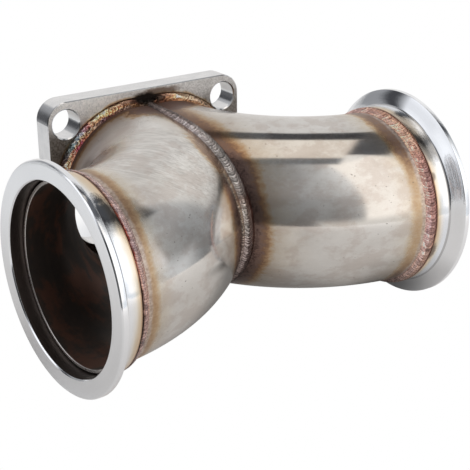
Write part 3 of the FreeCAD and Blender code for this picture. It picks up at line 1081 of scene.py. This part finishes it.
FLANGE_PLATE_SIDE = [
    (0.000, (0.06, 0.05, 0.04)), (0.024, (0.20, 0.12, 0.09)), (0.042, (0.70, 0.44, 0.30)),
    (0.065, (0.36, 0.28, 0.20)), (0.080, (0.50, 0.39, 0.29)), (0.110, (0.22, 0.15, 0.10)),
    (0.300, (0.40, 0.28, 0.20)), (0.790, (0.30, 0.18, 0.12)), (0.815, (0.15, 0.12, 0.12)),
    (0.842, (0.34, 0.46, 0.48)), (0.859, (0.56, 0.60, 0.72)), (0.874, (0.62, 0.26, 0.26)),
    (0.890, (1.00, 0.82, 0.50)), (0.912, (1.00, 0.88, 0.58)), (0.925, (0.42, 0.30, 0.21)),
    (0.944, (0.50, 0.33, 0.24)), (0.960, (0.15, 0.07, 0.05)), (0.985, (0.06, 0.05, 0.04)),
]
FLANGE_CROWN = [
    (0.000, (0.06, 0.05, 0.04)), (0.026, (0.20, 0.10, 0.06)), (0.042, (0.80, 0.50, 0.29)),
    (0.060, (0.88, 0.68, 0.49)), (0.080, (0.54, 0.41, 0.31)), (0.135, (0.14, 0.08, 0.05)),
    (0.300, (0.40, 0.26, 0.20)), (0.785, (0.90, 0.46, 0.24)), (0.808, (1.00, 0.66, 0.44)),
    (0.830, (0.46, 0.24, 0.17)), (0.858, (0.50, 0.40, 0.27)), (0.876, (0.16, 0.09, 0.07)),
    (0.893, (0.62, 0.36, 0.19)), (0.910, (1.00, 0.62, 0.35)), (0.960, (0.12, 0.05, 0.03)),
    (0.985, (0.06, 0.05, 0.04)),
]
FLANGE_PIPE_SIDE = [
    (0.000, (0.07, 0.05, 0.04)), (0.026, (0.12, 0.05, 0.03)), (0.044, (0.48, 0.28, 0.16)),
    (0.120, (0.36, 0.25, 0.17)), (0.300, (0.34, 0.25, 0.20)), (0.790, (0.90, 0.55, 0.40)),
    (0.808, (1.00, 0.60, 0.44)), (0.828, (0.80, 0.40, 0.32)), (0.842, (0.48, 0.14, 0.24)),
    (0.858, (0.60, 0.30, 0.19)), (0.876, (0.66, 0.50, 0.37)), (0.893, (0.30, 0.20, 0.24)),
    (0.912, (0.20, 0.09, 0.08)), (0.940, (0.26, 0.19, 0.16)), (0.960, (0.18, 0.10, 0.05)),
    (0.985, (0.09, 0.07, 0.06)),
]

# Toes and crown across a bead, as (share of its width, tone): painted shade in the creases at the toes, and
# painted highlight lines beside them
OUTLET_EDGES = [
    (0.00, (0.14, 0.10, 0.09)), (0.08, (0.34, 0.27, 0.24)), (0.20, (0.85, 0.78, 0.74)),
    (0.32, (1.0, 1.0, 1.0)), (0.78, (1.0, 1.0, 1.0)), (0.88, (1.15, 1.12, 1.08)),
    (0.96, (1.0, 0.94, 0.88)), (1.00, (0.50, 0.42, 0.38)),
]
SEAM_EDGES = [
    (0.00, (0.60, 0.45, 0.42)), (0.12, (0.90, 0.85, 0.84)), (0.26, (1.0, 1.0, 1.0)),
    (0.84, (1.05, 1.05, 1.05)), (0.94, (1.10, 1.10, 1.10)), (1.00, (0.50, 0.45, 0.44)),
]
FLANGE_EDGES = [
    (0.00, (0.06, 0.05, 0.04)), (0.09, (0.25, 0.19, 0.16)), (0.20, (1.0, 1.0, 1.0)),
    (0.86, (1.0, 1.0, 1.0)), (0.95, (0.80, 0.70, 0.62)), (1.00, (0.25, 0.18, 0.15)),
]

right_outlet_metal = make_bead_metal(
    "right_outlet_bead_metal", OUTLET_RUN,
    [(0.0, RIGHT_OUTLET_HUB_SIDE), (0.62, RIGHT_OUTLET_PIPE_SIDE)],
    OUTLET_EDGES, contrast=0.32, lift=1.12, streaks=0.4)
left_outlet_metal = make_bead_metal(
    "left_outlet_bead_metal", OUTLET_RUN,
    [(0.0, LEFT_OUTLET_TOE), (0.16, LEFT_OUTLET_HUB_SIDE), (0.60, LEFT_OUTLET_PIPE_SIDE)],
    OUTLET_EDGES, contrast=0.50, lift=1.1, streaks=0.9)
seam_metal = make_bead_metal(
    "seam_bead_metal", SEAM_RUN,
    [(0.0, SEAM_RIGHT_FLANK), (0.30, SEAM_CROWN), (0.66, SEAM_LEFT_FLANK)],
    SEAM_EDGES, contrast=0.14, crest=2.3, roughness=0.16, lift=0.85, patchy=0.4)
flange_metal = make_bead_metal(
    "flange_bead_metal", FLANGE_RUN,
    [(0.0, FLANGE_PLATE_SIDE), (0.52, FLANGE_CROWN), (0.76, FLANGE_PIPE_SIDE)],
    FLANGE_EDGES, contrast=0.10, crest=2.3, roughness=0.16, lift=1.7, sooty=True)

right_outlet_bead = lay_ripples(make_outlet_bead(1, "right_outlet_bead"), right_outlet_metal,
                                Pitch=1.25, Height=0.42, Bow=1.1, Wander=3.5, Seed=3)
left_outlet_bead = lay_ripples(make_outlet_bead(-1, "left_outlet_bead"), left_outlet_metal,
                               Pitch=0.9, Height=0.24, Bow=0.8, Wander=2.5, Seed=4)
seam_bead = lay_ripples(make_seam_bead("seam_bead"), seam_metal,
                        Pitch=1.15, Height=0.62, Bow=2.2, Centre=0.4, Wander=3.0, Seed=5)
flange_bead = lay_ripples(make_flange_bead("flange_bead"), flange_metal,
                          Pitch=2.5, Height=1.3, Bow=1.2, Wander=3.5, Seed=6)
fit(right_outlet_bead, "right_v_band_weld")
fit(left_outlet_bead, "left_v_band_weld")
fit(seam_bead, "seam_weld")
fit(flange_bead, "flange_weld")


# Studio

# Camera, which stands off a target inside the pipes and is moved a little across its own view
CAMERA_AZIMUTH = -34.8
CAMERA_ELEVATION = 22.193
CAMERA_ROLL = -0.251
CAMERA_TARGET = (0, -50, 0)
CAMERA_DISTANCE = 503.32
CAMERA_MOVED_RIGHT = 17.53
CAMERA_MOVED_DOWN = 12.97
SENSOR_WIDTH = 36.0
LENS_TO_PICTURE_WIDTH = 1138.7 / 470

# Tone of the walls by share of a full turn, from +Y through +X
WALL_ROUND = [
    (0.000, (0.60, 0.60, 0.60)), (0.235, (0.80, 0.79, 0.78)), (0.262, (0.60, 0.605, 0.61)),
    (0.300, (0.53, 0.545, 0.555)), (0.340, (0.66, 0.66, 0.65)), (0.380, (1.00, 0.97, 0.93)),
    (0.500, (1.25, 1.17, 1.09)), (0.518, (0.86, 0.85, 0.84)), (0.545, (0.66, 0.66, 0.655)),
    (0.592, (0.46, 0.46, 0.46)), (0.640, (0.33, 0.33, 0.33)), (0.730, (0.32, 0.32, 0.33)),
    (0.745, (1.20, 1.20, 1.22)), (0.872, (1.20, 1.20, 1.22)), (0.882, (0.62, 0.62, 0.63)),
    (0.893, (0.55, 0.55, 0.56)), (0.950, (0.48, 0.48, 0.49)), (1.000, (0.60, 0.60, 0.60)),
]

# How bright the walls are by share of the way from straight down to straight up
WALL_UP = [
    (0.44, (0.50, 0.50, 0.50)), (0.50, (0.56, 0.56, 0.56)), (0.56, (0.62, 0.62, 0.62)),
    (0.62, (0.70, 0.70, 0.70)), (0.67, (0.90, 0.90, 0.90)), (0.75, (1.0, 1.0, 1.0)),
    (0.95, (1.0, 1.0, 1.0)),
]

# Panels on the walls: from azimuth, to azimuth, lowest, highest elevation, softness, tone;
# the first two are one panel that crosses +Y
WALL_PANELS = [
    (-9, 88, -18, 62, 2.0, (0.80, 0.78, 0.76)),
    (351, 369, -18, 62, 2.0, (0.80, 0.78, 0.76)),
    (50, 86, 18, 42, 9.0, (0.94, 0.92, 0.89)),
    (272, 292, 5, 16, 5.0, (1.02, 1.02, 1.03)),
    (136, 183, -18, 66, 3.0, (1.30, 1.22, 1.13)),
    (127, 151, -18, 46, 4.5, (1.20, 1.21, 1.23)),
    (238, 260, -9, 30, 2.0, (0.04, 0.04, 0.04)),
    (320.5, 333.5, -9, 30, 7.0, (0.06, 0.06, 0.065)),
    (64, 94, 10.5, 14.5, 2.0, (0.36, 0.34, 0.33)),
    (120, 156, -40, -7, 4.0, (0.80, 0.83, 0.86)),
    (112, 146, -40, 3, 16.0, (0.74, 0.75, 0.76)),
    (158, 205, -40, -6, 10.0, (0.86, 0.82, 0.77)),
]

# Panels overhead: left, right, near, far in units of their height, softness, tone
CEILING_PANELS = [
    (-0.90, 0.29, -0.34, -0.06, 0.05, (0.25, 0.26, 0.27)),
    (-0.90, 0.60, -0.07, 0.58, 0.035, (0.125, 0.13, 0.14)),
    (-0.90, 0.40, 0.50, 0.66, 0.035, (0.125, 0.13, 0.14)),
    (-0.05, 0.30, 0.37, 0.66, 0.035, (0.07, 0.07, 0.075)),
    (0.58, 1.00, 0.12, 0.50, 0.14, (0.07, 0.07, 0.075)),
    (-0.45, 0.295, -0.17, 0.37, 0.035, (1.05, 0.97, 0.87)),
]


def make_floor_white(low):
    """White to the camera but for a painted shadow at the flange's foot; to the part, a glowing cloth with
    painted light from one side and painted shade under and beside it.
    """
    material = bpy.data.materials.new("floor_white")
    material.use_nodes = True
    tree = material.node_tree
    tree.nodes.clear()
    place = object_place(tree)

    def from_spot(x, y, widened=1.0):
        """Distance over the floor from a spot on it, counted as less along X where it is widened."""
        about = add(tree, "ShaderNodeMapping", {"Vector": place, "Location": (x * MM, y * MM, low),
                                                "Scale": (widened, 1, 1)}, vector_type="TEXTURE")
        return vector_calc(tree, "LENGTH", about.outputs[0], output="Value")

    def towards(x, y):
        return vector_calc(tree, "DOT_PRODUCT", place, (x, y, 0.0), output="Value")

    under = from_spot(20, -40, widened=2)
    beneath = falloff(tree, under, 0.038, 0.075)
    touching = falloff(tree, from_spot(83, -87), 0.002, 0.036)
    beside = falloff(tree, from_spot(74, -112), 0.008, 0.032)
    left_rear = falloff(tree, towards(-1.0, 0.5), 0.30, 0.05)
    open_air = summed(tree, 1.0, [(beneath, -0.5), (falloff(tree, under, 0.34, 0.18), 0.5)])
    open_air = product(tree, open_air, calc(tree, "MULTIPLY_ADD", touching, -0.75, 1.0),
                       calc(tree, "MULTIPLY_ADD", beside, -0.40, 1.0))
    gain = calc(tree, "MAXIMUM", calc(tree, "MULTIPLY_ADD", towards(0.53, -0.848), 0.85, 0.26), 0.0)
    strength = summed(tree, product(tree, gain, open_air), [(left_rear, 0.36)])
    cloth = mixed(tree, beneath, (0.52, 0.515, 0.505), (0.26, 0.257, 0.252))
    cloth = veiled(tree, cloth, touching, 0.7, (0.06, 0.06, 0.06))
    diffuse = add(tree, "ShaderNodeBsdfDiffuse", {"Color": cloth}).outputs[0]
    glow_colour = mixed(tree, left_rear, (1.0, 0.96, 0.93), (0.96, 0.98, 1.0))
    glow = add(tree, "ShaderNodeEmission", {"Color": glow_colour, "Strength": strength}).outputs[0]
    lit = add(tree, "ShaderNodeAddShader", {0: diffuse, 1: glow}).outputs[0]

    # Painted shadow on the floor at the flange's foot, seen by the camera
    painted_foot_shadow = falloff(tree, from_spot(22, 40, widened=1.3), 0.012, 0.044)
    paper = mixed(tree, painted_foot_shadow, (1.0, 1.0, 1.0), (0.70, 0.71, 0.73))
    white = add(tree, "ShaderNodeEmission", {"Color": paper, "Strength": 1.0}).outputs[0]
    seen = tree.nodes.new("ShaderNodeLightPath").outputs["Is Camera Ray"]
    final = add(tree, "ShaderNodeMixShader", {0: seen, 1: lit, 2: white}).outputs[0]
    tree.links.new(final, tree.nodes.new("ShaderNodeOutputMaterial").inputs[0])
    return material


def make_floor():
    """Plain round floor just under the part."""
    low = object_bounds()[0].z - 0.0002
    turns = np.linspace(0, math.tau, 64, endpoint=False)
    rim = [(0.34 * math.cos(turn), 0.34 * math.sin(turn), low) for turn in turns]
    mesh = bpy.data.meshes.new("floor")
    mesh.from_pydata(rim, [], [list(range(len(rim)))])
    mesh.materials.append(make_floor_white(low))
    floor = bpy.data.objects.new("floor", mesh)
    bpy.context.scene.collection.objects.link(floor)


def make_panel_group():
    """Soft-edged rectangle, by how far two measures lie outside its sides."""
    tree, given, result = new_group("studio_panel", [
        ("Across", "value"), ("Up", "value"), ("Left", "value"), ("Right", "value"),
        ("Low", "value"), ("High", "value"), ("Softness", "value", 1.0)], [("Mask", "value")])
    beside = calc(tree, "MAXIMUM", calc(tree, "SUBTRACT", given["Left"], given["Across"]),
                  calc(tree, "SUBTRACT", given["Across"], given["Right"]))
    beyond = calc(tree, "MAXIMUM", calc(tree, "SUBTRACT", given["Low"], given["Up"]),
                  calc(tree, "SUBTRACT", given["Up"], given["High"]))
    edge = calc(tree, "DIVIDE", calc(tree, "MAXIMUM", beside, beyond), given["Softness"])
    tree.links.new(falloff(tree, edge, -0.5, 0.5), result["Mask"])
    return tree


panel_group = make_panel_group()


def lay_panels(tree, colour, panels, across, up):
    """Lay a list of panels (left, right, low, high, softness, tone) over the colours behind them."""
    for left, right, low, high, softness, tone in panels:
        mask = use(tree, panel_group, Across=across, Up=up, Left=left, Right=right, Low=low, High=high,
                   Softness=softness).outputs["Mask"]
        colour = mixed(tree, mask, colour, tone)
    return colour


def make_world():
    """White studio: a dim room where the camera stands, pale walls round it and a panel overhead."""
    world = bpy.data.worlds.new("studio")
    bpy.context.scene.world = world
    world.use_nodes = True
    tree = world.node_tree
    tree.nodes.clear()
    way = split(tree, add(tree, "ShaderNodeTexCoord").outputs["Generated"])
    elevation = calc(tree, "DEGREES", calc(tree, "ARCSINE", way["Z"]))
    azimuth = calc(tree, "DEGREES", calc(tree, "ARCTAN2", way["X"], way["Y"]))
    share = calc(tree, "WRAP", calc(tree, "DIVIDE", azimuth, 360.0), 1.0, 0.0)
    upward = calc(tree, "MULTIPLY_ADD", elevation, 1 / 180, 0.5)
    colour = mixed(tree, 1.0, ramp(tree, share, WALL_ROUND), ramp(tree, upward, WALL_UP), "MULTIPLY")
    colour = lay_panels(tree, colour, WALL_PANELS, product(tree, share, 360.0), elevation)

    height = calc(tree, "MAXIMUM", way["Z"], 0.05)
    aim = math.radians(CAMERA_AZIMUTH)
    right = summed(tree, 0.0, [(way["Y"], math.sin(aim)), (way["X"], math.cos(aim))])
    away = summed(tree, 0.0, [(way["Y"], math.cos(aim)), (way["X"], -math.sin(aim))])
    colour = lay_panels(tree, colour, CEILING_PANELS, calc(tree, "DIVIDE", right, height),
                        calc(tree, "DIVIDE", away, height))
    seen = add(tree, "ShaderNodeLightPath").outputs["Is Camera Ray"]
    colour = mixed(tree, seen, colour, (1.0, 1.0, 1.0))
    background = add(tree, "ShaderNodeBackground", {"Color": colour, "Strength": 1.0}).outputs[0]
    tree.links.new(background, tree.nodes.new("ShaderNodeOutputWorld").inputs[0])


def aim_camera():
    """Camera at the viewing angle."""
    azimuth = math.radians(CAMERA_AZIMUTH)
    elevation = math.radians(CAMERA_ELEVATION)
    roll = math.radians(CAMERA_ROLL)
    back = Vector((math.sin(azimuth) * math.cos(elevation), -math.cos(azimuth) * math.cos(elevation),
                   math.sin(elevation)))
    level = Vector((math.cos(azimuth), math.sin(azimuth), 0))
    upright = back.cross(level)
    right = level * math.cos(roll) + upright * math.sin(roll)
    up = upright * math.cos(roll) - level * math.sin(roll)
    place = Vector(CAMERA_TARGET) + back * CAMERA_DISTANCE
    place += right * CAMERA_MOVED_RIGHT - up * CAMERA_MOVED_DOWN
    camera = bpy.data.objects.new("camera", bpy.data.cameras.new("camera"))
    camera.data.sensor_width = SENSOR_WIDTH
    camera.data.lens = SENSOR_WIDTH * LENS_TO_PICTURE_WIDTH
    camera.data.clip_start = 0.01
    camera.matrix_world = Matrix.Translation(place * MM) @ Matrix((right, up, back)).transposed().to_4x4()
    bpy.context.scene.collection.objects.link(camera)
    bpy.context.scene.camera = camera


make_floor()
make_world()
aim_camera()
bpy.context.scene.view_settings.view_transform = "Standard"
bpy.context.scene.view_settings.look = "None"
